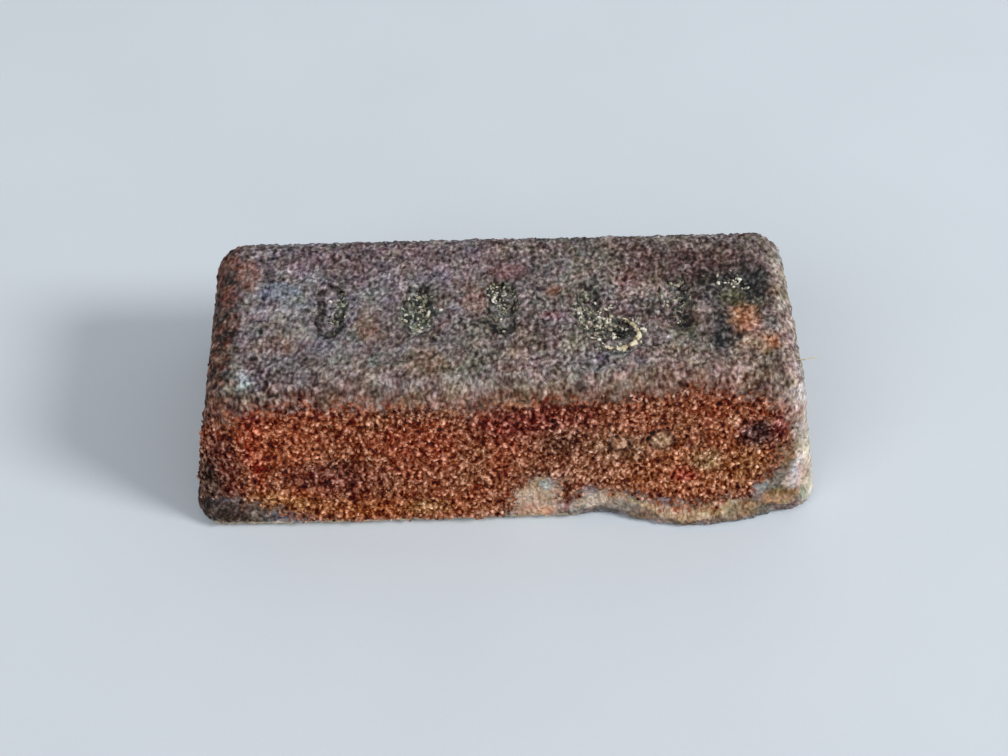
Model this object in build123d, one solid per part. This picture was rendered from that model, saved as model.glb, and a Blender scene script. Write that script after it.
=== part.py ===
from build123d import *
import math
import os

# Driving sizes, in millimetres and degrees. The wide face is the pour face, which was open to the air
# while the metal set. The narrow face is the one that lay at the bottom of the mould.

# Block
base_length = 76.2       # pour face end to end, before its edge is rounded
base_width = 33.1        # pour face front to back, before its edge is rounded
height = 21.6            # pour face to marked face
side_draft = 10.7        # lean of the two long faces
end_draft = 10.4         # lean of the two ends
corner_round = 4.0       # four upright corners
top_round = 3.8          # edge of the marked face
foot_round = 1.4         # edge of the pour face, drawn in by the metal's own skin

# Row of sunk marks on the marked face
mark_count = 5
mark_inset = 9.3         # end of the flat of the marked face to the row
mark_length = 7.9        # each mark, along the width of the block
mark_width = 2.8
mark_depth = 1.0
mark_draft = 14.0        # lean of a mark's walls

# Shallow sink in the pour face, left as the middle set last
rim_end = 8.0            # flat rim beyond the sink at each end
rim_side = 5.5           # flat rim beyond the sink along each side
sink_depth = 0.85

# Swell of metal that ran over the mould's lip, along the front pour edge
swell_length = 17.0
swell_end_gap = 6.4      # right-hand end of the pour edge to the swell
swell_reach = 1.5        # how far it stands out at its middle
swell_radius = 1.6       # roundness of its lip
swell_level = 0.9        # its middle line above the pour face

# Wide shallow nick in the front pour edge, just left of the swell
nick_gap = 3.3           # left-hand end of the swell to the nick's middle
nick_radius = 5.5
nick_depth = 1.2         # how far it bites into the edge

# Shallow hollows that corrosion ate into the marked face: place as a share of the half length and of
# the half width, radius of the mouth, depth
hollows = [
    (0.75, 0.16, 3.8, 0.35),    # by the back right corner
    (0.67, -0.38, 2.0, 0.28),
    (0.71, -0.31, 0.7, 0.55),   # a small deep hole
    (0.56, -0.34, 1.6, 0.18),
    (0.35, -0.25, 1.5, 0.45),
    (-0.04, -0.35, 2.1, 0.22),
    (-0.17, -0.55, 1.7, 0.18),
    (-0.51, -0.44, 1.6, 0.20),
    (-0.75, -0.46, 2.2, 0.22),
]

# Rings left by burst bubbles in the front long face: place as a share of the half length and of the
# height, radius of the ring
bubbles = [(0.47, 0.60, 1.5), (0.57, 0.59, 1.1), (0.34, 0.58, 1.25)]
bubble_groove = 0.4      # roundness of the ring's groove
bubble_depth = 0.25

# Pit in the front long face, beyond the bubbles
pit_share = 0.77         # of the half length
pit_level = 0.64         # of the height
pit_radius = 1.8
pit_depth = 0.35

half_length = base_length / 2
half_width = base_width / 2
top_length = base_length - 2 * height * math.tan(math.radians(end_draft))


def side_line(level):
    # distance of a long face from the middle, at a height above the pour face
    return half_width - level * math.tan(math.radians(side_draft))


def round_reach(radius, draft):
    # how far a rounded top edge runs in from the sharp corner that it replaces
    return radius * math.tan(math.radians(90 - draft) / 2)


def cast_block():
    # a plain block, its four walls leaned in from the pour face, then its edges rounded
    block = Box(base_length, base_width, height, align=(Align.CENTER, Align.CENTER, Align.MIN))
    block = draft(block.faces().filter_by(Axis.Y), Plane.XY, side_draft)
    ends = block.faces().sort_by(Axis.X)
    block = draft([ends[0], ends[-1]], Plane.XY, end_draft)
    uprights = [e for e in block.edges() if abs(e.center().Z - height / 2) < height / 4]
    block = fillet(uprights, corner_round)
    block = fillet(block.faces().sort_by(Axis.Z)[-1].edges(), min(top_round, 0.97 * corner_round))
    return fillet(block.faces().sort_by(Axis.Z)[0].edges(), foot_round)


def sunk_marks():
    # a row of plain bars with round ends and leaning walls, spread evenly between the two insets
    flat_length = top_length - 2 * round_reach(top_round, end_draft)
    pitch = (flat_length - 2 * mark_inset - mark_width) / (mark_count - 1)
    bar = extrude(SlotOverall(mark_length, mark_width, rotation=90), amount=-mark_depth, taper=mark_draft)
    row = GridLocations(pitch, 0, mark_count, 1)
    return [Pos(0, 0, height) * place * bar for place in row]


def shrink_sink():
    # the outermost cap of a wide ring that lies along the block: a long shallow dish
    half_dish = half_length - rim_end
    half_across = half_width - rim_side
    long_radius = (half_dish ** 2 + sink_depth ** 2) / (2 * sink_depth)
    cross_radius = (half_across ** 2 + sink_depth ** 2) / (2 * sink_depth)
    ring = Torus(long_radius - cross_radius, cross_radius, rotation=(90, 0, 0))
    return Pos(0, 0, sink_depth - long_radius) * ring


def pour_swell():
    # a bowed roll of metal: it leaves the long face, stands out in the middle and runs back in,
    # with its two ends buried in the block
    arc_radius = ((swell_length / 2) ** 2 + swell_reach ** 2) / (2 * swell_reach)
    buried = swell_radius / arc_radius
    half_turn = math.degrees(math.asin(swell_length / 2 / arc_radius) + buried)
    middle = half_length - swell_end_gap - swell_length / 2
    front = side_line(swell_level) + swell_reach - swell_radius
    roll = Torus(arc_radius, swell_radius, major_angle=2 * half_turn, align=None)
    roll = Rot(0, 0, -90 - half_turn) * roll
    return Pos(middle, arc_radius - front, swell_level) * roll


def edge_nick():
    middle = half_length - swell_end_gap - swell_length - nick_gap
    return Pos(middle, nick_depth - nick_radius - half_width, 0) * Sphere(nick_radius)


def dent(mouth, depth):
    # the cap of a ball that a flat surface at the origin would lose
    ball = (mouth ** 2 + depth ** 2) / (2 * depth)
    return Pos(0, 0, ball - depth) * Rot(0, -90, 0) * Sphere(ball)


def front_spot(share, level_share):
    # a place on the front long face, with Z straight out of the face
    level = level_share * height
    return Pos(share * half_length, -side_line(level), level) * Rot(90 - side_draft, 0, 0)


def eaten_hollows():
    return [Pos(x * half_length, y * half_width, height) * dent(mouth, depth) for x, y, mouth, depth in hollows]


def front_pocks():
    rings = [
        front_spot(x, level) * Pos(0, 0, bubble_groove - bubble_depth) * Torus(radius, bubble_groove)
        for x, level, radius in bubbles
    ]
    return rings + [front_spot(pit_share, pit_level) * dent(pit_radius, pit_depth)]


def ingot():
    # what the roll leaves below the pour face is cut off level with it
    below = Pos(0, 0, -height / 2) * Box(2 * base_length, 2 * base_width, height)
    solid = cast_block() + pour_swell() - below - edge_nick() - shrink_sink()
    for sunk in sunk_marks() + eaten_hollows() + front_pocks():
        solid = solid - sunk
    # the origin is the middle of the finished piece's underside
    return Pos(0, -solid.bounding_box().center().Y, 0) * solid


os.makedirs("parts", exist_ok=True)
piece = ingot()
export_step(piece, "parts/ingot.step")
box = piece.bounding_box()
print("ingot", box.min, box.max, "volume mm3", round(piece.volume, 1))
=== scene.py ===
import math

import bpy
import numpy as np
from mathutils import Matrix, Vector


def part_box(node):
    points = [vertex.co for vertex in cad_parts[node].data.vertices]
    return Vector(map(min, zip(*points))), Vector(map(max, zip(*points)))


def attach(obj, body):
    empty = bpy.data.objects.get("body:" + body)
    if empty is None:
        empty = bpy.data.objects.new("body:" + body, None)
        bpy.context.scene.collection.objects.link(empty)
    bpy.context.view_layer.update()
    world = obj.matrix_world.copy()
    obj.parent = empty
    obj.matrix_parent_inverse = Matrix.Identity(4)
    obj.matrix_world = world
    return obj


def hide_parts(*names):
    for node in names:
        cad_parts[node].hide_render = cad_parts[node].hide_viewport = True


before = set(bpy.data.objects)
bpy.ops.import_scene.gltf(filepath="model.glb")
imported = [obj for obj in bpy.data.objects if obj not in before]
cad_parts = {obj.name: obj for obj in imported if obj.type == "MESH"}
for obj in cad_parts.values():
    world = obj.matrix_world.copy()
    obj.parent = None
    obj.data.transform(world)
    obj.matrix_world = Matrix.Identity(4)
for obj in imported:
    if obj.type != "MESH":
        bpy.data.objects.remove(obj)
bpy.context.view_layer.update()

# The ingot lies on its wide pour face, which is at z = 0. The marked face looks up, and the rusted
# long side faces the front, towards -Y. Places are in millimetres from the middle of the pour face.
mm = 0.001
lowCorner, highCorner = (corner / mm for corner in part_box("ingot"))
topLevel = highCorner.z
blockMiddle = 0.8  # the block's centre line in Y, because the swell stands out in front
endLean = 0.19  # how far the two ends lean in for each millimetre of height


# Sockets and nodes


class Wire:
    # A node's output that can be written in sums. Every sum adds a Math node.
    def __init__(self, tree, socket):
        self.tree = tree
        self.socket = socket

    def __add__(self, other):
        return self.tree.maths("ADD", self, other)

    def __radd__(self, other):
        return self.tree.maths("ADD", other, self)

    def __sub__(self, other):
        return self.tree.maths("SUBTRACT", self, other)

    def __rsub__(self, other):
        return self.tree.maths("SUBTRACT", other, self)

    def __mul__(self, other):
        return self.tree.maths("MULTIPLY", self, other)

    def __rmul__(self, other):
        return self.tree.maths("MULTIPLY", other, self)

    def __truediv__(self, other):
        return self.tree.maths("DIVIDE", self, other)

    def __rtruediv__(self, other):
        return self.tree.maths("DIVIDE", other, self)

    def absolute(self):
        return self.tree.maths("ABSOLUTE", self)

    def atLeast(self, other):
        return self.tree.maths("MAXIMUM", self, other)

    def atMost(self, other):
        return self.tree.maths("MINIMUM", self, other)

    def vector(self, operation, other=None, output=0):
        values = {0: self} if other is None else {0: self, 1: other}
        return self.tree.node("ShaderNodeVectorMath", {"operation": operation}, values, output)

    def times(self, factor):
        return self.tree.node("ShaderNodeVectorMath", {"operation": "SCALE"}, {0: self, "Scale": factor})

    def part(self, name):
        return Wire(self.tree, self.socket.node.outputs[name])


class Tree:
    def __init__(self, nodeTree):
        self.nodeTree = nodeTree

    def node(self, kind, settings=None, inputs=None, output=0):
        made = self.nodeTree.nodes.new(kind)
        for name, value in (settings or {}).items():
            if name == "stops":
                self.setStops(made.color_ramp, value)
            else:
                setattr(made, name, value)
        for name, value in (inputs or {}).items():
            self.feed(made.inputs[name], value)
        return Wire(self, made.outputs[output]) if made.outputs else made

    def maths(self, operation, *values):
        return self.node("ShaderNodeMath", {"operation": operation}, dict(enumerate(values)))

    def feed(self, socket, value):
        if isinstance(value, Wire):
            self.nodeTree.links.new(value.socket, socket)
        else:
            socket.default_value = value

    def setStops(self, ramp, stops):
        while len(ramp.elements) < len(stops):
            ramp.elements.new(0.5)
        for element, (position, colour) in zip(ramp.elements, stops):
            element.position = position
            element.color = colour


def paint(red, green, blue):
    # an sRGB colour from 0 to 255, turned linear
    linear = [((c / 255 + 0.055) / 1.055) ** 2.4 if c > 10 else c / 3294.6 for c in (red, green, blue)]
    return (*linear, 1.0)


def axes(place):
    split = place.tree.node("ShaderNodeSeparateXYZ", {}, {0: place}, "X")
    return split, split.part("Y"), split.part("Z")


def fade(value, start, end):
    # 0 at start, 1 at end and smooth between
    return value.tree.node(
        "ShaderNodeMapRange",
        {"interpolation_type": "SMOOTHSTEP"},
        {"Value": value, "From Min": start, "From Max": end},
    )


def within(value, inner, outer):
    # 1 up to the inner distance on either side of nought, 0 from the outer one
    return fade(value.absolute(), outer, inner)


def spread(value, low, high, fromLow=0.3, fromHigh=0.7):
    # a noise value stretched to the range from low to high
    return value.tree.node(
        "ShaderNodeMapRange",
        {},
        {"Value": value, "From Min": fromLow, "From Max": fromHigh, "To Min": low, "To Max": high},
    )


def mixed(factor, first, second):
    # the first colour where the factor is 0 and the second where it is 1
    tree = next(value.tree for value in (factor, first, second) if isinstance(value, Wire))
    return tree.node(
        "ShaderNodeMix",
        {"data_type": "RGBA", "blend_type": "MIX", "clamp_factor": True},
        {0: factor, 6: first, 7: second},
        2,
    )


def clouds(place, size, detail=2.0, shift=0.0, rough=0.5):
    # soft noise whose lumps are about size millimetres across
    moved = place.vector("ADD", (shift, shift * 0.7, -shift)) if shift else place
    return place.tree.node(
        "ShaderNodeTexNoise",
        {"noise_dimensions": "3D"},
        {"Vector": moved, "Scale": 1.0 / size, "Detail": detail, "Roughness": rough},
    )


def sway(noise):
    # the noise's three colours as a push that is about nought on the average
    return noise.part("Color").vector("SUBTRACT", (0.5, 0.5, 0.5))


def ragged(place, size, reach, shift=0.0):
    # the place pushed about by noise, so that what is drawn with it gets a torn edge
    return place.vector("ADD", sway(clouds(place, size, 2.0, shift)).times(2 * reach))


def around(place, centre, reach, edge=0.4):
    # 1 within reach of the centre and 0 beyond, each axis with its own reach
    away = place.vector("SUBTRACT", centre).vector("DIVIDE", reach).vector("LENGTH", output="Value")
    return fade(away, 1 + edge, 1 - edge)


strokeShape = (1.12, 0.95, 0.9)  # the light strokes of the corroded skin are narrow in X


def flecks(place, size):
    # short light strokes between dark gaps, about 0 on the average and within 1 either way
    torn = ragged(place.vector("MULTIPLY", strokeShape), 1.2 * size, 0.35 * size, 15.0)
    stroke = clouds(torn, 1.1 * size, 0.0, 3.0) - 0.5
    grain = clouds(torn, 0.72 * size, 0.0, 27.0) - 0.5
    return 0.22 - 2.2 * stroke.absolute() + 3.9 * grain


def speckle(place, size, fine, coarse):
    # how much lighter or darker a rough corroded skin looks: flecks on top of clumps and wider clouds
    narrow = place.vector("MULTIPLY", strokeShape)
    level = fine * (flecks(place, size) + 2.6 * (clouds(narrow, 1.1 * size, 0.0, 41.0) - 0.5))
    for scale, weight in ((1.9, 2.2), (3.6, 1.6), (8.5, 1.2)):
        level = level + coarse * weight * (clouds(place, scale * size, 0.0, 40.0 + scale) - 0.5)
    return level


def lit(colour, level):
    # lighter or darker by the same step in every channel, as the eye sees it
    tree = level.tree
    seen = tree.node("ShaderNodeGamma", {}, {"Color": colour, "Gamma": 1 / 2.2})
    seen = seen.vector("ADD", level).vector("MAXIMUM", (0.0, 0.0, 0.0))
    return tree.node("ShaderNodeGamma", {}, {"Color": seen, "Gamma": 2.2})


def tinted(colour, place, size, strength):
    # each clump leans a little to red, green or blue
    lean = sway(clouds(place, size, 3.0, 20.0, 0.6)).vector("MULTIPLY", (strength, 0.5 * strength, strength))
    return colour.vector("MULTIPLY", lean.vector("ADD", (1.0, 1.0, 1.0)))


def newMaterial(name):
    material = bpy.data.materials.new(name)
    material.use_nodes = True
    material.node_tree.nodes.clear()
    tree = Tree(material.node_tree)
    place = tree.node("ShaderNodeTexCoord", output="Object").times(1 / mm)
    return material, tree, place


def finishMaterial(tree, colour, roughness, height, depth, shine=0.5):
    bump = tree.node("ShaderNodeBump", {}, {"Strength": 1.0, "Height": height, "Distance": depth * mm})
    shader = tree.node(
        "ShaderNodeBsdfPrincipled",
        {},
        {"Base Color": colour, "Roughness": roughness, "Specular IOR Level": shine, "Normal": bump},
    )
    tree.node("ShaderNodeOutputMaterial", {}, {"Surface": shader})


def attribute(tree, name):
    return tree.node("ShaderNodeAttribute", {"attribute_name": name}, output="Fac")


# Camera, light and floor

studio = {
    "eye": (-4.0, -123.3, 162.5),
    "aim": (0.0, -1.2, 10.4),
    "lens": 57.0,
    "sensor": 36.0,
    "clip": (0.005, 20.0),  # in metres
    "floor": (214, 222, 230),
    "floorHalf": 1.5,  # in metres
    "skyColour": (0.97, 0.98, 1.0, 1.0),
    "sky": 0.42,
    "key": ((1.08, -0.36, 0.81), 0.42, 13.0),  # place in metres, width and power of the softbox
    "fill": ((-0.90, -0.78, 1.02), 1.20, 5.4),
}


def makeCamera():
    lens = bpy.data.cameras.new("camera")
    lens.lens = studio["lens"]
    lens.sensor_width = studio["sensor"]
    lens.clip_start, lens.clip_end = studio["clip"]
    camera = bpy.data.objects.new("camera", lens)
    camera.location = Vector(studio["eye"]) * mm
    aim = Vector(studio["aim"]) * mm
    camera.rotation_euler = (aim - camera.location).to_track_quat("-Z", "Y").to_euler()
    bpy.context.scene.collection.objects.link(camera)
    bpy.context.scene.camera = camera


def makeWorld():
    # soft even light, behind which the camera, metal and glass see the floor's pale colour
    world = bpy.data.worlds.new("studio")
    world.use_nodes = True
    world.node_tree.nodes.clear()
    tree = Tree(world.node_tree)
    rays = tree.node("ShaderNodeLightPath", output="Is Camera Ray")
    seen = rays.atLeast(rays.part("Is Glossy Ray")).atLeast(rays.part("Is Transmission Ray"))
    light = tree.node("ShaderNodeBackground", {}, {"Color": studio["skyColour"], "Strength": studio["sky"]})
    backdrop = tree.node("ShaderNodeBackground", {}, {"Color": paint(*studio["floor"]), "Strength": 1.0})
    both = tree.node("ShaderNodeMixShader", {}, {0: seen, 1: light, 2: backdrop})
    tree.node("ShaderNodeOutputWorld", {}, {"Surface": both})
    bpy.context.scene.world = world


def makeSoftbox(name):
    place, width, power = studio[name]
    lamp = bpy.data.lights.new(name, "AREA")
    lamp.shape = "DISK"
    lamp.size = width
    lamp.energy = power
    softbox = bpy.data.objects.new(name, lamp)
    softbox.location = place
    ingotMiddle = Vector((0, 0, 0.01))
    softbox.rotation_euler = (ingotMiddle - softbox.location).to_track_quat("-Z", "Y").to_euler()
    bpy.context.scene.collection.objects.link(softbox)


def makeFloor():
    half = studio["floorHalf"]
    mesh = bpy.data.meshes.new("floor")
    corners = [(-half, -half, 0), (half, -half, 0), (half, half, 0), (-half, half, 0)]
    mesh.from_pydata(corners, [], [(0, 1, 2, 3)])
    floor = bpy.data.objects.new("floor", mesh)
    bpy.context.scene.collection.objects.link(floor)
    material, tree, place = newMaterial("paleFloor")
    tone = spread(clouds(place, 30.0), 0.985, 1.015)
    base = paint(*studio["floor"])[:3]
    colour = tree.node("ShaderNodeVectorMath", {"operation": "SCALE"}, {0: base, "Scale": tone})
    finishMaterial(tree, colour, 0.75, clouds(place, 0.8), 0.02)
    mesh.materials.append(material)


# Rust and dirt, as outlines and patches on the ingot

# Edge of the rust on the front side, as x and z
rustOutline = [
    (-39.5, 10.0), (-38.5, 15.0), (-34.5, 17.4), (-31.0, 18.2), (-26.9, 18.8), (-21.8, 19.3),
    (-14.1, 19.0), (-8.9, 18.5), (-3.8, 18.0), (1.3, 18.9), (11.5, 19.2), (21.6, 20.2),
    (26.7, 19.7), (30.8, 17.8), (32.8, 14.5), (31.6, 8.7), (29.5, 4.4), (26.4, 3.1),
    (22.0, 2.6), (18.4, 2.9), (15.6, 3.8), (13.0, 5.0), (9.9, 5.6), (8.6, 3.8),
    (6.6, 3.6), (6.0, 7.2), (3.4, 8.1), (1.2, 6.0), (0.0, 0.9), (-22.5, 0.9),
    (-26.0, 2.8), (-29.0, 4.2), (-33.0, 5.4), (-38.5, 5.0),
]

# Colours of the rust: place, reach and colour
rustPatches = {
    "redStreak": ((-29.2, -13.0, 14.0), (1.2, 3.0, 5.0), (168, 62, 40)),
    "orangeLeft": ((-26.0, -13.0, 14.0), (4.6, 4.0, 4.6), (156, 80, 44)),
    "yellowLow": ((-27.0, -14.8, 4.6), (4.6, 2.5, 1.8), (160, 104, 54)),
    "orangeLow": ((-24.0, -14.5, 6.6), (2.0, 2.0, 1.1), (172, 88, 46)),
    "brownLeft": ((-20.5, -14.0, 8.6), (5.5, 3.0, 2.6), (108, 50, 34)),
    "brownCorner": ((-33.4, -13.0, 10.0), (2.4, 4.0, 6.0), (110, 52, 38)),
    "oliveCorner": ((-35.6, -13.4, 7.6), (2.2, 4.0, 3.4), (66, 46, 32)),
    "orangeFoot": ((-15.0, -15.0, 3.0), (10.0, 2.0, 1.7), (160, 88, 42)),
    "ochreFoot": ((-9.6, -15.0, 3.4), (2.6, 2.0, 1.1), (162, 114, 70)),
    "orangeMiddle": ((-10.5, -13.5, 13.5), (4.5, 3.0, 3.0), (154, 78, 48)),
    "deepRed": ((4.0, -12.5, 16.0), (8.0, 2.5, 2.6), (124, 44, 32)),
    "orangeTop": ((1.6, -11.6, 19.4), (2.0, 1.6, 1.0), (178, 106, 54)),
    "beigeMiddle": ((9.5, -13.8, 11.0), (6.5, 3.0, 5.5), (156, 102, 74)),
    "oliveDark": ((6.4, -13.2, 13.2), (2.4, 2.4, 2.0), (116, 72, 50)),
    "orangeRight": ((22.5, -14.0, 8.0), (9.5, 4.0, 5.0), (162, 96, 58)),
    "beigeLeft": ((13.6, -13.8, 12.0), (3.4, 2.4, 2.4), (148, 106, 78)),
    "beige": ((23.4, -13.9, 9.8), (2.0, 2.4, 1.6), (160, 122, 84)),
    "redSpot": ((21.0, -14.1, 7.6), (1.6, 2.0, 1.1), (160, 64, 40)),
    "ochreRight": ((28.6, -14.2, 8.6), (2.4, 2.4, 3.0), (160, 104, 60)),
    "purpleBlack": ((29.2, -13.1, 13.8), (2.2, 2.4, 2.1), (64, 38, 40)),
    "crimson": ((32.0, -12.7, 15.4), (1.2, 2.4, 2.0), (132, 46, 42)),
}

# Rings left by burst bubbles, on the front side: place, radius and the colour inside
ringPocks = [
    ((17.9, -13.3, 12.9), 1.50, (174, 140, 108)),
    ((21.7, -13.3, 12.7), 1.10, (152, 88, 54)),
    ((13.0, -13.4, 12.5), 1.25, (150, 104, 72)),
]

# Patches on the bare lead: place, reach, colour and strength
leadPatches = {
    # marked face
    "lavenderLeft": ((-24.0, 1.0, 21.6), (8.5, 8.0, 2.0), (124, 116, 119), 0.75),
    "paleMiddle": ((-23.4, -0.8, 21.6), (3.6, 3.6, 1.0), (140, 133, 131), 0.65),
    "bluish": ((-26.5, 3.9, 21.6), (2.4, 1.6, 1.0), (105, 112, 124), 0.6),
    "orangeCorner": ((-30.6, 6.6, 21.4), (1.7, 2.6, 1.2), (136, 102, 84), 0.7),
    "purpleLeft": ((-26.5, -9.0, 21.2), (5.0, 2.4, 1.6), (98, 88, 96), 0.6),
    "whiteSpot": ((-31.2, -9.4, 21.3), (1.8, 2.2, 1.2), (168, 174, 178), 0.95),
    "orangeBetween": ((-16.0, -1.6, 21.6), (1.3, 2.8, 1.0), (136, 102, 84), 0.5),
    "brownLow": ((-27.2, -4.4, 21.6), (3.0, 1.8, 1.0), (136, 110, 96), 0.6),
    "brownStreak": ((-9.2, -7.2, 21.6), (2.2, 2.6, 1.0), (130, 100, 78), 0.65),
    "brownLeftOfThird": ((-3.4, 1.8, 21.6), (1.5, 2.8, 1.0), (136, 100, 84), 0.65),
    "pinkRight": ((15.4, 4.4, 21.6), (2.2, 2.6, 1.0), (140, 114, 104), 0.6),
    "redTinge": ((0.6, 6.5, 21.6), (2.4, 1.2, 1.0), (128, 84, 78), 0.6),
    "orangeSpot": ((5.9, 3.1, 21.6), (1.0, 1.2, 0.8), (146, 98, 76), 0.7),
    "pinkSpot": ((5.6, -0.8, 21.6), (1.6, 1.0, 0.8), (150, 112, 112), 0.7),
    "tealSpot": ((-15.2, -7.4, 21.6), (1.0, 1.2, 0.8), (82, 96, 90), 0.6),
    "brownMiddle": ((-1.5, -4.5, 21.6), (7.0, 3.6, 1.5), (108, 92, 80), 0.55),
    "greenTinge": ((-3.3, -2.5, 21.6), (2.0, 1.4, 0.8), (100, 98, 84), 0.6),
    "creamLeft": ((1.7, -6.1, 21.6), (1.6, 1.0, 0.8), (146, 128, 112), 0.6),
    "creamRight": ((7.6, -6.0, 21.6), (1.6, 2.2, 0.8), (142, 130, 116), 0.6),
    "pinkArch": ((18.9, 1.4, 21.6), (1.7, 2.8, 1.0), (134, 114, 108), 0.7),
    "blueGrey": ((12.0, -8.0, 21.6), (5.0, 1.6, 1.0), (116, 114, 122), 0.6),
    "purpleBack": ((25.0, 7.4, 21.5), (7.0, 2.6, 1.4), (72, 54, 52), 0.8),
    "darkSlope": ((24.2, 3.0, 21.5), (2.6, 2.6, 1.2), (62, 52, 48), 0.8),
    "darkPatch": ((28.2, 3.9, 21.4), (4.2, 3.4, 1.6), (44, 43, 40), 0.95),
    "olivePatch": ((27.0, 1.6, 21.4), (1.6, 1.4, 1.0), (92, 86, 60), 0.75),
    "darkTail": ((25.2, -4.0, 21.5), (1.5, 3.6, 1.0), (46, 42, 46), 0.9),
    "orangeUpper": ((28.2, -1.8, 21.4), (1.9, 2.2, 1.0), (166, 114, 84), 0.9),
    "orangeLower": ((29.6, -5.6, 21.3), (2.4, 1.8, 1.2), (158, 124, 100), 0.85),
    "orangeDrop": ((30.8, -5.6, 21.1), (1.1, 1.0, 1.0), (166, 108, 76), 0.8),
    # painted shade in a small hole
    "holeShade": ((27.2, -4.7, 21.5), (0.55, 0.6, 0.8), (34, 28, 26), 0.95),
    "crimsonEdge": ((33.1, -4.6, 20.7), (0.9, 1.7, 1.4), (140, 66, 66), 0.85),
    "blueEdge": ((33.6, -9.4, 20.0), (1.5, 2.4, 2.0), (164, 172, 182), 0.85),
    # painted shade in the hollow under the curl and in the gap beside it
    "curlHollowShade": ((13.4, -2.9, 21.3), (1.4, 0.9, 1.6), (20, 16, 16), 0.97),
    "curlGapShade": ((10.6, -2.9, 21.3), (0.9, 0.6, 1.6), (26, 22, 20), 0.9),
    "curlLump": ((12.6, -4.9, 21.4), (1.3, 0.7, 1.4), (138, 124, 120), 0.8),
    "brownBack": ((21.0, 7.6, 21.6), (9.0, 3.0, 1.6), (92, 70, 64), 0.65),
    "brownFarLeft": ((-13.0, 9.0, 21.6), (12.0, 2.6, 1.6), (100, 76, 78), 0.6),
    # shoulder over the rust
    "shoulderLeft": ((-24.0, -11.0, 20.2), (9.0, 1.6, 1.3), (88, 74, 68), 0.75),
    "shoulderMiddle": ((-2.0, -11.2, 19.8), (12.0, 1.8, 1.5), (124, 107, 93), 0.6),
    "shoulderRight": ((20.0, -10.0, 21.0), (12.0, 1.5, 1.0), (138, 116, 108), 0.6),
    # front side, below and beside the rust
    "tanPatch": ((3.3, -14.8, 4.2), (3.6, 2.5, 4.2), (189, 159, 132), 0.95),
    "stoneSpot": ((4.6, -14.4, 6.4), (0.8, 1.2, 0.9), (202, 198, 196), 0.8),
    "orangeDab": ((4.4, -15.4, 1.7), (1.1, 1.2, 0.8), (196, 130, 88), 0.7),
    "tanPink": ((2.6, -15.2, 2.4), (1.4, 1.5, 1.0), (186, 138, 112), 0.7),
    "greyBand": ((11.4, -15.2, 3.2), (4.2, 2.0, 1.6), (192, 174, 156), 0.95),
    "redNick": ((7.2, -14.9, 4.4), (0.5, 1.6, 2.2), (112, 46, 34), 0.9),
    "ochreLow": ((27.0, -16.0, 2.4), (4.0, 1.6, 1.3), (160, 130, 94), 0.85),
    "creamSwell": ((20.0, -16.6, 1.9), (8.5, 1.8, 1.6), (130, 108, 88), 0.9),
    "ochreRight": ((33.2, -13.4, 10.6), (1.7, 2.4, 2.6), (158, 124, 84), 0.8),
    "greyGreen": ((30.8, -14.9, 4.8), (1.8, 1.6, 1.0), (124, 130, 122), 0.85),
    "orangeBrown": ((33.2, -15.1, 3.4), (2.4, 1.6, 1.5), (172, 130, 88), 0.85),
    "blueWhite": ((35.2, -14.0, 7.4), (1.3, 2.2, 2.4), (186, 190, 198), 0.8),
    "pinkish": ((34.2, -14.6, 5.6), (1.4, 1.4, 1.2), (202, 180, 166), 0.85),
    "mottledFoot": ((-32.0, -15.0, 3.0), (3.8, 2.6, 2.6), (80, 58, 44), 0.92),
}

# Small cracks and dips beyond the ones that the solid has: place, reach and depth
hollows = [
    ((7.2, -14.9, 4.6), (0.45, 2.0, 2.2), 0.40),  # crack beside the bare patch
    ((11.4, -15.4, 3.0), (3.6, 2.0, 1.2), 0.15),
    ((-21.9, 3.0, 21.6), (0.7, 4.0, 1.0), 0.20),
    ((26.6, 1.4, 21.6), (0.9, 1.6, 1.0), 0.20),
    ((29.8, 4.6, 21.6), (1.0, 0.8, 1.0), 0.25),
    ((4.6, 2.4, 21.6), (0.6, 2.8, 1.0), 0.18),
    ((16.6, 3.6, 21.6), (1.2, 2.2, 1.0), 0.15),
    ((13.4, -2.9, 21.6), (1.4, 0.9, 1.6), 0.45),
    ((13.6, -4.2, 21.6), (2.6, 2.6, 1.6), 0.20),
]

# What lies in the five sunk marks: heart of the dirt, its reach and how full it is
markDirt = [
    ((-19.4, 1.6, 21.0), (0.8, 3.6, 1.2), 0.9),
    ((-9.9, 1.2, 21.0), (1.7, 3.2, 1.4), 1.0),
    ((0.1, 2.6, 21.0), (1.6, 2.6, 1.4), 1.0),
    ((9.9, -0.2, 21.0), (1.4, 3.0, 1.4), 0.9),
    ((20.9, 2.0, 21.0), (0.7, 3.4, 1.2), 0.8),
]

# Crumbs outside the sunk marks, dark soil and pale dry stuff: place and reach
soilPatches = [
    ((12.0, -3.6, 21.5), (1.5, 2.4, 1.2)),
    ((27.6, 4.2, 21.4), (1.8, 1.3, 1.2)),
]
palePatches = [
    ((10.6, -0.6, 21.4), (1.5, 1.7, 1.2)),
    ((12.6, -1.7, 21.4), (1.8, 0.7, 1.2)),
    ((15.3, -3.5, 21.4), (0.7, 1.7, 1.2)),
    ((13.4, -6.0, 21.4), (2.0, 0.6, 1.2)),
    ((11.0, -3.6, 21.4), (1.1, 1.2, 1.2)),
    ((-9.4, 0.6, 21.0), (1.0, 1.2, 1.6)),
]


# Colours of the lead


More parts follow.
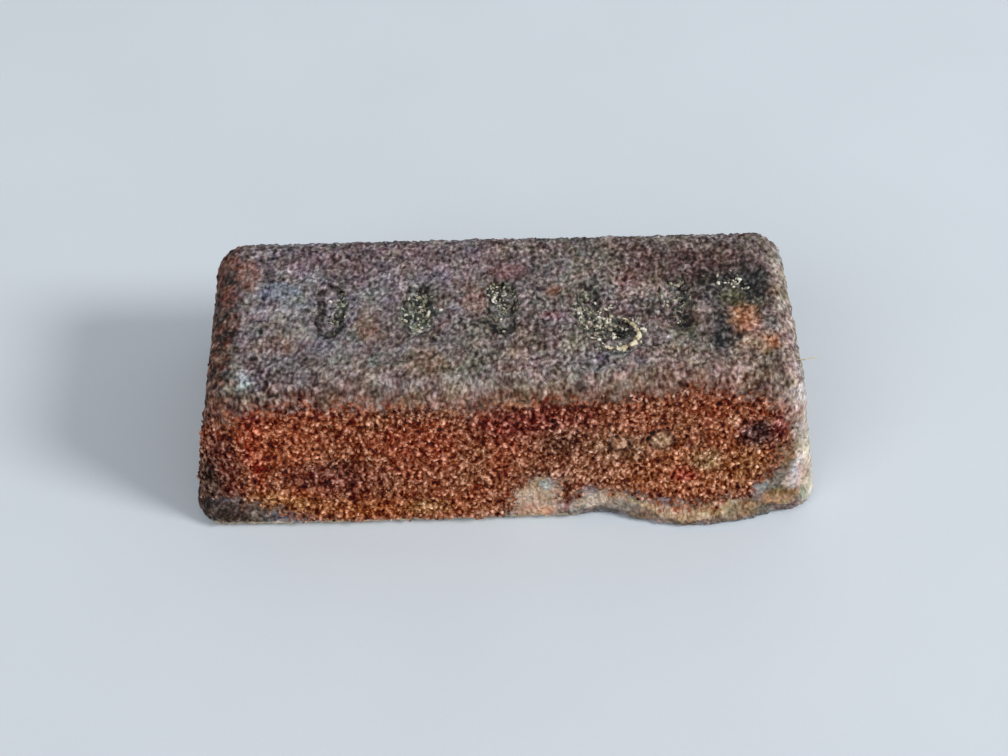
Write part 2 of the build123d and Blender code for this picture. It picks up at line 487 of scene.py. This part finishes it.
def plainLead(place):
    # brown-grey lead, cooler on the left, warmer on the right and paler along the front
    x, y, z = axes(place)
    broad = clouds(place, 7.0, 3.0, 0.0, 0.6)
    colour = mixed(spread(broad, 0, 1, 0.38, 0.62), paint(112, 105, 98), paint(120, 104, 101))
    warm = fade(x + 26.0 * (clouds(place, 12.0, 2.0, 4.0) - 0.5), -20.0, 24.0)
    colour = mixed(0.75 * (1 - warm), colour, paint(118, 109, 112))
    colour = mixed(0.5 * warm, colour, paint(118, 100, 94))
    frontBand = fade(y, -5.0, -8.5) * fade(y, -12.5, -10.0)
    return mixed(0.5 * frontBand, colour, paint(132, 112, 100))


def addLeadPatches(colour, place):
    torn = ragged(ragged(place, 2.4, 0.9), 0.7, 0.35, 5.0)
    for centre, reach, tint, strength in leadPatches.values():
        colour = mixed(strength * around(torn, centre, reach), colour, paint(*tint))
    return colour


def addCrest(colour, place):
    # worn cream crest that runs down from the nick and along the swell
    x, y, z = axes(place)
    crestLevel = 1.8 + 0.035 * (x - 21.5) * (x - 21.5)
    crest = within(z - crestLevel + 0.8 * (clouds(place, 1.3, 2.0, 63.0) - 0.5), 0.2, 0.8)
    crest = crest * fade(x, 10.0, 12.0) * fade(x, 29.5, 27.0) * fade(y, -12.0, -13.0)
    return mixed(0.9 * crest, colour, paint(192, 164, 130))


def wander(place):
    # how far the edges of the ends and of the back wander
    return 3.0 * (clouds(place, 1.8, 3.0, 1.0, 0.6) - 0.5)


def addLeftEndRustAndShade(colour, place):
    # brown rust, partly darkened as painted shade, and redder towards the marked face
    x, y, z = axes(place)
    edge = wander(place)
    end = fade(endLean * z - x + edge, 34.0, 36.4)
    brown = mixed(fade(z + edge, 12.0, 20.5), paint(76, 48, 36), paint(108, 62, 44))
    brown = mixed(spread(clouds(place, 1.3, 3.0, 19.0), 0, 1, 0.40, 0.60), brown, paint(58, 42, 34))
    return mixed(0.95 * end, colour, brown)


def addRightEndPaleAndLit(colour, place):
    # pale by the front, partly the metal's own pale grey and partly painted light, greyer towards the back
    x, y, z = axes(place)
    edge = wander(place)
    end = fade(endLean * z + x + edge, 35.4, 36.9)
    pale = mixed(fade(z + edge, 16.0, 21.0), paint(220, 210, 200), paint(164, 136, 122))
    pale = mixed(spread(clouds(place, 4.0, 3.0, 7.0), 0, 0.6), pale, paint(170, 146, 118))
    pale = mixed(0.85 * fade(y + edge, -12.0, -6.0), pale, paint(142, 130, 122))
    return mixed(0.9 * end, colour, pale)


def addBack(colour, place):
    x, y, z = axes(place)
    back = fade(y + wander(place), 11.5, 14.0)
    plain = mixed(clouds(place, 5.0, 3.0), paint(120, 124, 126), paint(104, 92, 84))
    return mixed(0.7 * back, colour, plain)


def underside(place):
    # 1 on the pour face and in its shallow sink
    x, y, z = axes(place)
    sink = fade(z, 5.0, 4.0) * within(y - blockMiddle, 11.0, 12.0) * within(x, 32.0, 33.0)
    return sink.atLeast(fade(z, 0.9, 0.2))


def crystalLead(place):
    # clean lead that set in crystals, each with its own grey
    crystals = place.tree.node("ShaderNodeTexVoronoi", {}, {"Vector": place, "Scale": 1 / 3.5}, "Color")
    tone = crystals.vector("DOT_PRODUCT", (0.5, 0.3, 0.2), "Value")
    return mixed(tone, paint(112, 114, 118), paint(142, 144, 146))


def addMarkShadeAndDirt(colour, place):
    # painted shade darkens the walls of the sunk marks, and soil lies in them
    tree = place.tree
    wall = attribute(tree, "wall") + 0.9 * (clouds(place, 1.3, 2.0, 36.0) - 0.5)
    colour = mixed(0.8 * fade(wall, 0.15, 0.7), colour, paint(48, 38, 33))
    grains = spread(clouds(place, 1.1, 2.0, 3.0), 0, 1, 0.4, 0.6)
    soil = mixed(grains, paint(32, 34, 31), paint(110, 112, 102))
    soil = mixed(fade(clouds(place, 0.5, 1.0, 33.0), 0.56, 0.62), soil, paint(186, 184, 162))
    dirt = attribute(tree, "dirt") + 1.5 * (clouds(place, 1.0, 2.0) - 0.5)
    return mixed(0.85 * fade(dirt, 0.25, 0.75), colour, soil)


def addWornFoot(colour, place):
    # cream line where the foot of the front side is worn
    x, y, z = axes(place)
    edge = z + 0.6 * (clouds(place, 1.2, 2.0, 2.0) - 0.5)
    foot = fade(edge, 1.5, 1.0) * fade(z, 0.1, 0.4) * fade(y, -14.2, -14.8) * fade(x, 10.0, 7.0)
    return mixed(0.85 * foot, colour, paint(206, 188, 160))


# Colours of the rust

rustFlecks = (0.70, 0.24, 0.07)  # size of a fleck, and contrast of the flecks and of the clumps


def tornEdge(place):
    # how far the edge of the rust wanders in and out
    return 5.0 * (clouds(place, 2.0, 2.0, 8.0) - 0.5) + 4.0 * (clouds(place, 0.6, 2.0, 5.0) - 0.5)


def rustColour(place):
    torn = ragged(place, 1.4, 0.35, 2.0)
    broad = clouds(place, 3.4, 3.0, 6.0)
    colour = mixed(spread(broad, 0, 1, 0.4, 0.6), paint(143, 70, 38), paint(152, 94, 62))
    for centre, reach, tint in rustPatches.values():
        colour = mixed(0.85 * around(torn, centre, reach, 0.6), colour, paint(*tint))
    for centre, radius, tint in ringPocks:
        # the inside of the ring, then painted shade in its groove, both fainter in the smaller rings
        away = torn.vector("DISTANCE", centre, "Value")
        colour = mixed(0.5 * radius * fade(away, radius, radius - 0.4), colour, paint(*tint))
        colour = mixed(0.4 * radius * within(away - radius, 0.08, 0.30), colour, paint(58, 24, 16))
    return colour


# Materials

leadSkin = {
    "fleck": 0.68,  # size of a fleck
    "contrast": (0.135, 0.19),  # of the flecks, which changes over the ingot
    "calm": 0.5,  # share of the contrast that the smooth parts lose
    "clumps": 0.12,  # contrast of the clumps
    "roughness": (0.62, 0.86),
    "bump": 0.15,
    "shine": 0.3,
}


def calmParts(place, crust, under):
    # the bare parts of the front side, the right end and the pour face are smoother than the rest
    x, y, z = axes(place)
    front = fade(y, -12.8, -13.8) * fade(crust, 0.6, -1.2) * fade(x, -3.0, 1.0)
    return front.atLeast(fade(x, 33.4, 35.0)).atLeast(under)


def addFlecks(colour, place, calm):
    colour = tinted(tinted(colour, place, 3.6, 0.75), place, 1.2, 0.5)
    contrast = spread(clouds(place, 9.0, 1.0, 77.0), *leadSkin["contrast"], 0.35, 0.65)
    contrast = contrast * (1 - leadSkin["calm"] * calm)
    return lit(colour, speckle(place, leadSkin["fleck"], contrast, leadSkin["clumps"]) + 0.01)


def leadColour(place, crust):
    x, y, z = axes(place)
    colour = plainLead(place)
    for add in (addLeadPatches, addCrest, addLeftEndRustAndShade, addRightEndPaleAndLit, addBack):
        colour = add(colour, place)
    under = underside(place)
    colour = mixed(0.85 * under, colour, crystalLead(place))
    # brown stain on the lead beside the rust
    stain = fade(crust, -4.5, 0.0) * fade(z, 5.0, 9.0)
    colour = mixed(0.6 * stain, colour, paint(134, 86, 62))
    colour = addMarkShadeAndDirt(colour, place)
    return addFlecks(colour, place, calmParts(place, crust, under))


def makeLeadMaterial():
    material, tree, place = newMaterial("weatheredLead")
    crust = attribute(tree, "crust") + tornEdge(place)
    # what shows of the skin between the grains is rust as well, a little darker as painted shade between the
    # grains
    bed = lit(rustColour(place), speckle(place, *rustFlecks) - 0.02)
    colour = mixed(fade(crust, -0.8, 0.6), leadColour(place, crust), bed)
    colour = addWornFoot(colour, place)
    roughness = spread(clouds(place, 1.6, 2.0), *leadSkin["roughness"])
    finishMaterial(tree, colour, roughness, flecks(place, 0.70), leadSkin["bump"], leadSkin["shine"])
    return material


def makeGrainMaterial():
    material, tree, place = newMaterial("rustGrain")
    tone = attribute(tree, "tone")
    # browner at the edge of the rust, and painted shade at the root of each grain
    colour = mixed(0.75 * fade(attribute(tree, "crust"), 2.2, -0.8), rustColour(place), paint(100, 70, 60))
    level = speckle(place, *rustFlecks) + spread(tone, -0.02, 0.03, 0.0, 1.0)
    colour = lit(tinted(colour, place, 1.4, 0.5), level + 0.035)
    colour = mixed(0.75 * fade(attribute(tree, "lift"), 0.12, -0.08), colour, paint(48, 10, 4))
    roughness = spread(tone, 0.78, 0.95, 0.0, 1.0)
    finishMaterial(tree, colour, roughness, clouds(place, 0.3, 2.0), 0.04, 0.12)
    return material


crumbTones = [
    (0.00, paint(26, 27, 25)),
    (0.40, paint(56, 57, 52)),
    (0.62, paint(112, 112, 100)),
    (0.80, paint(190, 182, 156)),
    (1.00, paint(236, 232, 220)),
]


def makeCrumbMaterial():
    material, tree, place = newMaterial("soilCrumb")
    tone = 0.6 * attribute(tree, "tone") + spread(clouds(place, 0.9, 1.0, 9.0), 0.0, 0.6, 0.36, 0.64)
    colour = tree.node("ShaderNodeValToRGB", {"stops": crumbTones}, {0: tone})
    colour = colour.times(spread(clouds(place, 0.2, 2.0), 0.75, 1.2))
    finishMaterial(tree, colour, spread(tone, 0.7, 0.9, 0.0, 1.0), clouds(place, 0.12, 2.0), 0.03)
    return material


def makeFibreMaterial():
    material, tree, place = newMaterial("dryFibre")
    straw = spread(clouds(place, 0.9, 2.0), 0, 1, 0.4, 0.6)
    colour = mixed(straw, paint(186, 168, 130), paint(234, 224, 194))
    colour = mixed(fade(clouds(place, 0.7, 1.0, 8.0), 0.44, 0.36), colour, paint(100, 84, 64))
    streaks = clouds(place, 0.15, 2.0)
    finishMaterial(tree, colour, spread(streaks, 0.55, 0.75), streaks, 0.03)
    return material


# Geometry Nodes

number = "NodeSocketFloat"
wholeNumber = "NodeSocketInt"
words = "NodeSocketString"
substance = "NodeSocketMaterial"


def newGroup(name, inputs):
    group = bpy.data.node_groups.new(name, "GeometryNodeTree")
    group.is_modifier = True
    group.interface.new_socket("Geometry", in_out="OUTPUT", socket_type="NodeSocketGeometry")
    group.interface.new_socket("Geometry", in_out="INPUT", socket_type="NodeSocketGeometry")
    for label, kind in inputs.items():
        group.interface.new_socket(label, in_out="INPUT", socket_type=kind)
    tree = Tree(group)
    entry = group.nodes.new("NodeGroupInput")
    return group, tree, {socket.name: Wire(tree, socket) for socket in entry.outputs if socket.name}


def closeGroup(tree, geometry, material):
    geometry = tree.node("GeometryNodeRealizeInstances", {}, {"Geometry": geometry})
    geometry = tree.node("GeometryNodeSetMaterial", {}, {"Geometry": geometry, "Material": material})
    tree.node("NodeGroupOutput", {}, {"Geometry": geometry})


def runGroup(thing, group, values):
    modifier = thing.modifiers.new(group.name, "NODES")
    modifier.node_group = group
    for item in group.interface.items_tree:
        if item.item_type == "SOCKET" and item.in_out == "INPUT" and item.name in values:
            modifier[item.identifier] = values[item.name]
    settle(thing)


def settle(thing):
    # the modifiers' result becomes the plain mesh
    graph = bpy.context.evaluated_depsgraph_get()
    shaped = thing.evaluated_get(graph)
    mesh = bpy.data.meshes.new_from_object(shaped, preserve_all_data_layers=True, depsgraph=graph)
    thing.modifiers.clear()
    thing.data = mesh


def namedField(tree, name, kind="FLOAT"):
    return tree.node("GeometryNodeInputNamedAttribute", {"data_type": kind}, {"Name": name}, "Attribute")


def storeField(tree, geometry, name, value, kind="FLOAT"):
    return tree.node(
        "GeometryNodeStoreNamedAttribute",
        {"data_type": kind, "domain": "POINT"},
        {"Geometry": geometry, "Name": name, "Value": value},
    )


def moved(tree, geometry, offset):
    return tree.node("GeometryNodeSetPosition", {}, {"Geometry": geometry, "Offset": offset})


def smoothed(tree, geometry):
    return tree.node("GeometryNodeSetShadeSmooth", {}, {"Geometry": geometry})


# Relief of the skin, in millimetres outwards from the cast block

skin = {
    "Mottle size": 4.6,
    "Mottle depth": 0.34,
    "Lump size": 1.9,
    "Lump depth": 0.22,
    "Grain size": 0.80,
    "Grain depth": 0.16,
    "Crust rise": 0.14,
    "Ring depth": 0.12,
    "Mark fill": 0.30,
    "Edge wear": 3,
}
lipDepth = 0.35
markSway = 1.6  # how strongly the edges of the marks are pushed about


def lumps(place, size, depth, shift):
    # soft relief, mostly above nought
    noise = place.tree.node(
        "ShaderNodeTexNoise",
        {},
        {"Vector": place.vector("ADD", (shift, -shift, shift)), "Scale": 1 / size, "Detail": 2.0},
    )
    return depth * (noise - 0.25)


def corrosion(place, given):
    # dips of three sizes all over, then the cracks and dips that have a place of their own
    height = 0 - lumps(place, given["Mottle size"], given["Mottle depth"], 0.0)
    height = height - lumps(place, given["Lump size"], given["Lump depth"], 11.0)
    height = height - given["Grain depth"] * (0.6 - flecks(place, given["Grain size"]))
    torn = ragged(place, 1.4, 0.25)
    for centre, reach, depth in hollows:
        height = height - depth * around(torn, centre, reach, 0.6)
    return height


def addRings(height, place, given):
    for centre, radius, tint in ringPocks:
        away = place.vector("DISTANCE", centre, "Value") - radius
        height = height - given["Ring depth"] * fade(away * away, 0.14, 0.0)
    return height


def addLip(height, place):
    # groove under the lip above the foot, at the right of the front side
    x, y, z = axes(place)
    away = z - 1.95 + 0.055 * (x - 27.0) + 0.5 * (clouds(place, 3.0) - 0.5)
    groove = fade(away * away, 0.10, 0.0) * fade(x, 26.0, 28.0) * fade(x, 36.5, 35.0)
    return height - lipDepth * (groove * fade(y, -12.0, -13.0))


def grainDensity(place, crust):
    # grains grow all over the rust, but not at its foot, round the left end or on the rings
    x, y, z = axes(place)
    density = fade(crust, -0.4, 0.7) * fade(z, 0.9, 1.5) * fade(x, -37.6, -36.0)
    for centre, radius, tint in ringPocks:
        away = place.vector("DISTANCE", centre, "Value")
        density = density * (1 - 0.95 * fade(away, radius + 0.5, radius + 0.1))
    return density


def sunkPart(place):
    # 1 below the edges of the five sunk marks
    x, y, z = axes(place)
    sunk = fade(z, topLevel - 0.25, topLevel - 0.7) * fade(z, topLevel - 1.6, topLevel - 1.3)
    return sunk * within(y - blockMiddle, 4.6, 5.6) * within(x, 23.0, 24.0)


def markWallShade(place, normal):
    # 1 on the steep walls of the sunk marks, with a soft edge, where the shade is painted
    x, y, z = axes(place)
    steep = fade(normal.vector("DOT_PRODUCT", (0, 0, 1), "Value"), 0.92, 0.6)
    wall = steep * within(y - blockMiddle, 5.4, 6.0) * within(x, 23.0, 24.0)
    wall = wall * fade(z, topLevel - 4.0, topLevel - 3.0)
    soft = {"Value": wall, "Iterations": 2}
    return place.tree.node("GeometryNodeBlurAttribute", {"data_type": "FLOAT"}, soft)


def markRow(place):
    # 1 all round the five sunk marks
    x, y, z = axes(place)
    level = fade(z, topLevel - 1.6, topLevel - 1.2)
    return level * within(y - blockMiddle, 5.4, 6.4) * within(x, 24.0, 25.0)


def storeDirt(tree, geometry, place, sunk):
    # where pale crumbs, dirt and dark soil lie
    scattered = place.vector("ADD", sway(clouds(place, 1.1, 2.0, 13.0)).times(3.6))
    dirt = 0.25 * sunk
    for centre, reach, fullness in markDirt:
        dirt = dirt.atLeast(fullness * around(scattered, centre, reach, 0.5))
    soil = dirt * spread(clouds(place, 1.7, 2.0, 61.0), 0.0, 1.3, 0.42, 0.62)
    torn = ragged(place, 1.4, 0.25)
    for centre, reach in soilPatches:
        soil = soil.atLeast(around(torn, centre, reach, 0.6))
    soil = soil * spread(clouds(place, 1.3, 2.0, 31.0), 0.2, 1.2, 0.4, 0.6)
    pale = sum(around(scattered, centre, reach, 0.7) for centre, reach in palePatches)
    for name, amount in (("pale", pale.atMost(1.0)), ("dirt", dirt), ("soil", soil)):
        geometry = storeField(tree, geometry, name, amount)
    return geometry


def wearMarks(tree, geometry, place, rounds):
    # the marks' edges are worn round and made a little crooked
    nearMarks = markRow(place)
    worn = tree.node(
        "GeometryNodeBlurAttribute",
        {"data_type": "FLOAT_VECTOR"},
        {"Value": tree.node("GeometryNodeInputPosition"), "Iterations": rounds, "Weight": nearMarks},
    )
    geometry = tree.node("GeometryNodeSetPosition", {}, {"Geometry": geometry, "Position": worn})
    crooked = sway(clouds(place, 2.6, 1.0, 81.0)).vector("MULTIPLY", (1.0, 1.0, 0.0))
    return moved(tree, geometry, crooked.times(markSway * mm * nearMarks))


def makeSkinGroup():
    inputs = {name: number for name in skin}
    inputs.update({"Edge wear": wholeNumber, "Material": substance})
    group, tree, given = newGroup("castSkin", inputs)
    place = tree.node("GeometryNodeInputPosition").times(1 / mm)
    normal = tree.node("GeometryNodeInputNormal")
    crust = namedField(tree, "crust") + tornEdge(place)
    sunk = sunkPart(place)

    height = corrosion(place, given)
    rusty = fade(crust, -2.4, 1.6)
    height = height + given["Crust rise"] * rusty * (0.6 + clouds(place, 1.1, 2.0, 4.0))
    height = addLip(addRings(height, place, given), place)
    height = height + given["Mark fill"] * sunk * clouds(place, 1.4, 2.0, 50.0)

    geometry = storeField(tree, given["Geometry"], "rusting", grainDensity(place, crust))
    # the mask for the painted shade on the marks' walls
    geometry = storeField(tree, geometry, "wall", markWallShade(place, normal))
    geometry = storeDirt(tree, geometry, place, sunk)
    geometry = wearMarks(tree, geometry, place, given["Edge wear"])
    geometry = moved(tree, geometry, normal.times(height * mm))
    closeGroup(tree, smoothed(tree, geometry), given["Material"])
    return group


# Grains and crumbs

coarseGrains = {
    "Density field": "rusting",
    "Pitch": 0.60,
    "Smallest": 0.44,
    "Largest": 0.72,
    "Lift": 0.08,
    "Unevenness": 0.30,
    "Darkest": 0.35,
    "Lightest": 1.0,
    "Seed": 3,
}

fineGrains = {
    "Density field": "rusting",
    "Pitch": 0.52,
    "Smallest": 0.32,
    "Largest": 0.50,
    "Lift": 0.05,
    "Unevenness": 0.20,
    "Darkest": 0.0,
    "Lightest": 0.6,
    "Seed": 8,
}

soilCrumbs = {
    "Density field": "soil",
    "Pitch": 0.38,
    "Smallest": 0.26,
    "Largest": 0.70,
    "Lift": 0.12,
    "Unevenness": 0.30,
    "Darkest": 0.0,
    "Lightest": 1.0,
    "Seed": 21,
}

paleCrumbs = {
    **soilCrumbs,
    "Density field": "pale",
    "Smallest": 0.28,
    "Largest": 0.74,
    "Darkest": 0.30,
    "Seed": 34,
}

grainShape = {
    "crowding": 4,  # points tried for each square of the pitch
    "tilt": 0.5,  # either way, in radians
    "leastStretch": (0.9, 0.5, 0.5),
    "mostStretch": (1.6, 1.0, 0.9),
}


def scatterPoints(tree, given):
    pitch = given["Pitch"]
    return tree.node(
        "GeometryNodeDistributePointsOnFaces",
        {"distribute_method": "POISSON"},
        {
            "Mesh": given["Geometry"],
            "Distance Min": pitch * mm,
            "Density Max": grainShape["crowding"] / mm / mm / (pitch * pitch),
            "Density Factor": namedField(tree, given["Density field"]),
            "Seed": given["Seed"],
        },
    )


def chance(tree, seed, low, high):
    # a random number between two numbers, or a random vector between two vectors
    isVector = isinstance(low, tuple)
    kind = "FLOAT_VECTOR" if isVector else "FLOAT"
    first = 0 if isVector else 2
    values = {first: low, first + 1: high, "Seed": seed}
    return tree.node("FunctionNodeRandomValue", {"data_type": kind}, values, first // 2)


def growGrains(tree, points, upright, seed, size):
    # each grain has 20 faces and is a millimetre across before it is scaled and stretched
    grain = tree.node("GeometryNodeMeshIcoSphere", {}, {"Radius": 0.5 * mm, "Subdivisions": 1})
    tilt = grainShape["tilt"]
    spin = chance(tree, seed + 3, (-tilt, -tilt, 0.0), (tilt, tilt, math.tau))
    turn = tree.node("FunctionNodeRotateRotation", {"rotation_space": "LOCAL"}, {0: upright, 1: spin})
    stretch = chance(tree, seed + 4, grainShape["leastStretch"], grainShape["mostStretch"]).times(size)
    grains = tree.node(
        "GeometryNodeInstanceOnPoints",
        {},
        {"Points": points, "Instance": grain, "Rotation": turn, "Scale": stretch},
    )
    return tree.node("GeometryNodeRealizeInstances", {}, {"Geometry": grains})


def storeLift(tree, grains, place):
    # how far each corner stands out from the skin, measured from where its grain grows
    away = place.vector("SUBTRACT", namedField(tree, "heart", "FLOAT_VECTOR"))
    lift = away.vector("DOT_PRODUCT", namedField(tree, "outward", "FLOAT_VECTOR"), "Value") / mm
    grains = storeField(tree, grains, "lift", lift)
    for spare in ("heart", "outward"):
        grains = tree.node("GeometryNodeRemoveAttribute", {}, {"Geometry": grains, "Name": spare})
    return grains


def makeGrainGroup():
    inputs = {name: number for name in coarseGrains}
    inputs.update({"Density field": words, "Seed": wholeNumber, "Material": substance})
    group, tree, given = newGroup("scatteredGrains", inputs)
    seed = given["Seed"]
    points = scatterPoints(tree, given)
    outward = points.part("Normal")
    upright = points.part("Rotation")

    size = chance(tree, seed + 1, given["Smallest"], given["Largest"])
    place = tree.node("GeometryNodeInputPosition")
    points = storeField(tree, points, "heart", place, "FLOAT_VECTOR")
    points = storeField(tree, points, "outward", outward, "FLOAT_VECTOR")
    points = storeField(tree, points, "tone", chance(tree, seed + 2, given["Darkest"], given["Lightest"]))
    points = moved(tree, points, outward.times(given["Lift"] * size * mm))

    grains = growGrains(tree, points, upright, seed, size)
    push = sway(clouds(place.times(1 / mm), 0.35, 1.0))
    grains = moved(tree, grains, push.times(given["Unevenness"] * mm))
    grains = storeLift(tree, grains, place)
    closeGroup(tree, smoothed(tree, grains), given["Material"])
    return group


# Pieces


def newPiece(name, mesh):
    piece = bpy.data.objects.new(name, mesh)
    bpy.context.scene.collection.objects.link(piece)
    return piece


def finishPiece(piece):
    keepInside(piece.data)
    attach(piece, "root")
    print(piece.name, len(piece.data.polygons), "faces")
    return piece


def readPlaces(mesh):
    places = np.empty(len(mesh.vertices) * 3)
    mesh.vertices.foreach_get("co", places)
    return places.reshape(-1, 3)


def keepInside(mesh):
    # nothing stands out of the cast block's own box
    places = np.clip(readPlaces(mesh), np.array(lowCorner) * mm, np.array(highCorner) * mm)
    mesh.vertices.foreach_set("co", places.ravel())
    mesh.update()


def insideOutline(x, z, outline):
    # distance to the outline, positive inside
    nearest = np.full(x.shape, np.inf)
    inside = np.zeros(x.shape, bool)
    for (ax, az), (bx, bz) in zip(outline, outline[1:] + outline[:1]):
        dx, dz = bx - ax, bz - az
        along = np.clip(((x - ax) * dx + (z - az) * dz) / (dx * dx + dz * dz), 0, 1)
        nearest = np.minimum(nearest, np.hypot(x - ax - along * dx, z - az - along * dz))
        if az != bz:
            inside ^= ((az > z) != (bz > z)) & (x < ax + (z - az) * dx / dz)
    return np.where(inside, nearest, -nearest)


castBlock = {
    "weld": 0.001,
    "voxel": 0.32,
    "shoulder": -11.8,  # behind this line the rust falls off
}


def makeBody():
    body = newPiece("ingotBody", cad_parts["ingot"].data.copy())
    weld = body.modifiers.new("weld", "WELD")
    weld.merge_threshold = castBlock["weld"] * mm
    remesh = body.modifiers.new("remesh", "REMESH")
    remesh.mode = "VOXEL"
    remesh.voxel_size = castBlock["voxel"] * mm
    settle(body)

    # how deep each corner lies inside the rust's outline on the front side
    x, y, z = readPlaces(body.data).T / mm
    crust = insideOutline(x, z, rustOutline) - np.maximum(0, y - castBlock["shoulder"])
    body.data.attributes.new("crust", "FLOAT", "POINT").data.foreach_set("value", crust)

    runGroup(body, makeSkinGroup(), {**skin, "Material": makeLeadMaterial()})
    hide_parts("ingot")
    return finishPiece(body)


def scatter(name, body, group, values, material):
    piece = newPiece(name, body.data.copy())
    runGroup(piece, group, {**values, "Material": material})
    return finishPiece(piece)


curl = {
    "thick": 0.24,
    "strands": 3,
    "loose": 0.20,
    "uneven": 0.36,
    "seed": 4,
    "points": [
        (13.9, -1.5, 21.40), (14.9, -2.1, 21.45), (15.5, -3.2, 21.50), (15.6, -4.3, 21.50),
        (15.0, -5.4, 21.50), (13.9, -6.1, 21.50), (12.7, -6.3, 21.50), (11.6, -5.7, 21.40),
    ],
}

fibre = {
    "thick": 0.09,
    "strands": 1,
    "loose": 0.0,
    "uneven": 0.12,
    "seed": 1,
    "points": [(33.6, -7.2, 19.9), (34.6, -7.5, 20.0), (35.5, -7.2, 20.3), (36.2, -7.4, 20.4)],
}


def makeFrayedGroup():
    group, tree, given = newGroup("frayed", {"Uneven": number, "Material": substance})
    place = tree.node("GeometryNodeInputPosition").times(1 / mm)
    push = sway(clouds(place, 0.9, 2.0)).times(given["Uneven"] * mm).vector("MULTIPLY", (2.0, 2.0, 0.6))
    geometry = moved(tree, given["Geometry"], push)
    swell = 0.6 * given["Uneven"] * (clouds(place, 0.4, 1.0) - 0.6) * mm
    geometry = moved(tree, geometry, tree.node("GeometryNodeInputNormal").times(swell))
    closeGroup(tree, geometry, given["Material"])
    return group


def strandCurve(name, shape):
    # thin dry strands side by side along a smooth curve, thinner towards their ends
    draw = np.random.default_rng(shape["seed"])
    curve = bpy.data.curves.new(name, "CURVE")
    curve.dimensions = "3D"
    curve.bevel_depth = shape["thick"] * mm
    curve.bevel_resolution = 2
    curve.use_fill_caps = True
    curve.resolution_u = 8
    highest = topLevel - 0.9 * shape["thick"]
    last = len(shape["points"]) - 1
    for strand in range(shape["strands"]):
        spline = curve.splines.new("NURBS")
        spline.points.add(last)
        for index, (target, point) in enumerate(zip(spline.points, shape["points"])):
            x, y, z = Vector(point) + Vector(draw.uniform(-1, 1, 3) * shape["loose"])
            target.co = (x * mm, y * mm, min(z, highest) * mm, 1.0)
            target.radius = 0.5 + 0.5 * math.sin(math.pi * index / last)
        spline.order_u = 4
        spline.use_endpoint_u = True
    return curve


def makeStrand(name, shape, group, material):
    bent = newPiece(name + "Curve", strandCurve(name, shape))
    graph = bpy.context.evaluated_depsgraph_get()
    mesh = bpy.data.meshes.new_from_object(bent.evaluated_get(graph))
    bpy.data.objects.remove(bent)
    mesh.shade_smooth()
    piece = newPiece(name, mesh)
    runGroup(piece, group, {"Uneven": shape["uneven"], "Material": material})
    return finishPiece(piece)


bpy.context.scene.view_settings.view_transform = "Standard"
makeCamera()
makeWorld()
makeSoftbox("key")
makeSoftbox("fill")
makeFloor()
print("studio ready")

body = makeBody()

grainGroup = makeGrainGroup()
grainMaterial = makeGrainMaterial()
scatter("rustGrainsCoarse", body, grainGroup, coarseGrains, grainMaterial)
scatter("rustGrainsFine", body, grainGroup, fineGrains, grainMaterial)

crumbMaterial = makeCrumbMaterial()
scatter("soilCrumbs", body, grainGroup, soilCrumbs, crumbMaterial)
scatter("paleCrumbs", body, grainGroup, paleCrumbs, crumbMaterial)

frayedGroup = makeFrayedGroup()
fibreMaterial = makeFibreMaterial()
makeStrand("curledFibre", curl, frayedGroup, fibreMaterial)
makeStrand("looseFibre", fibre, frayedGroup, fibreMaterial)
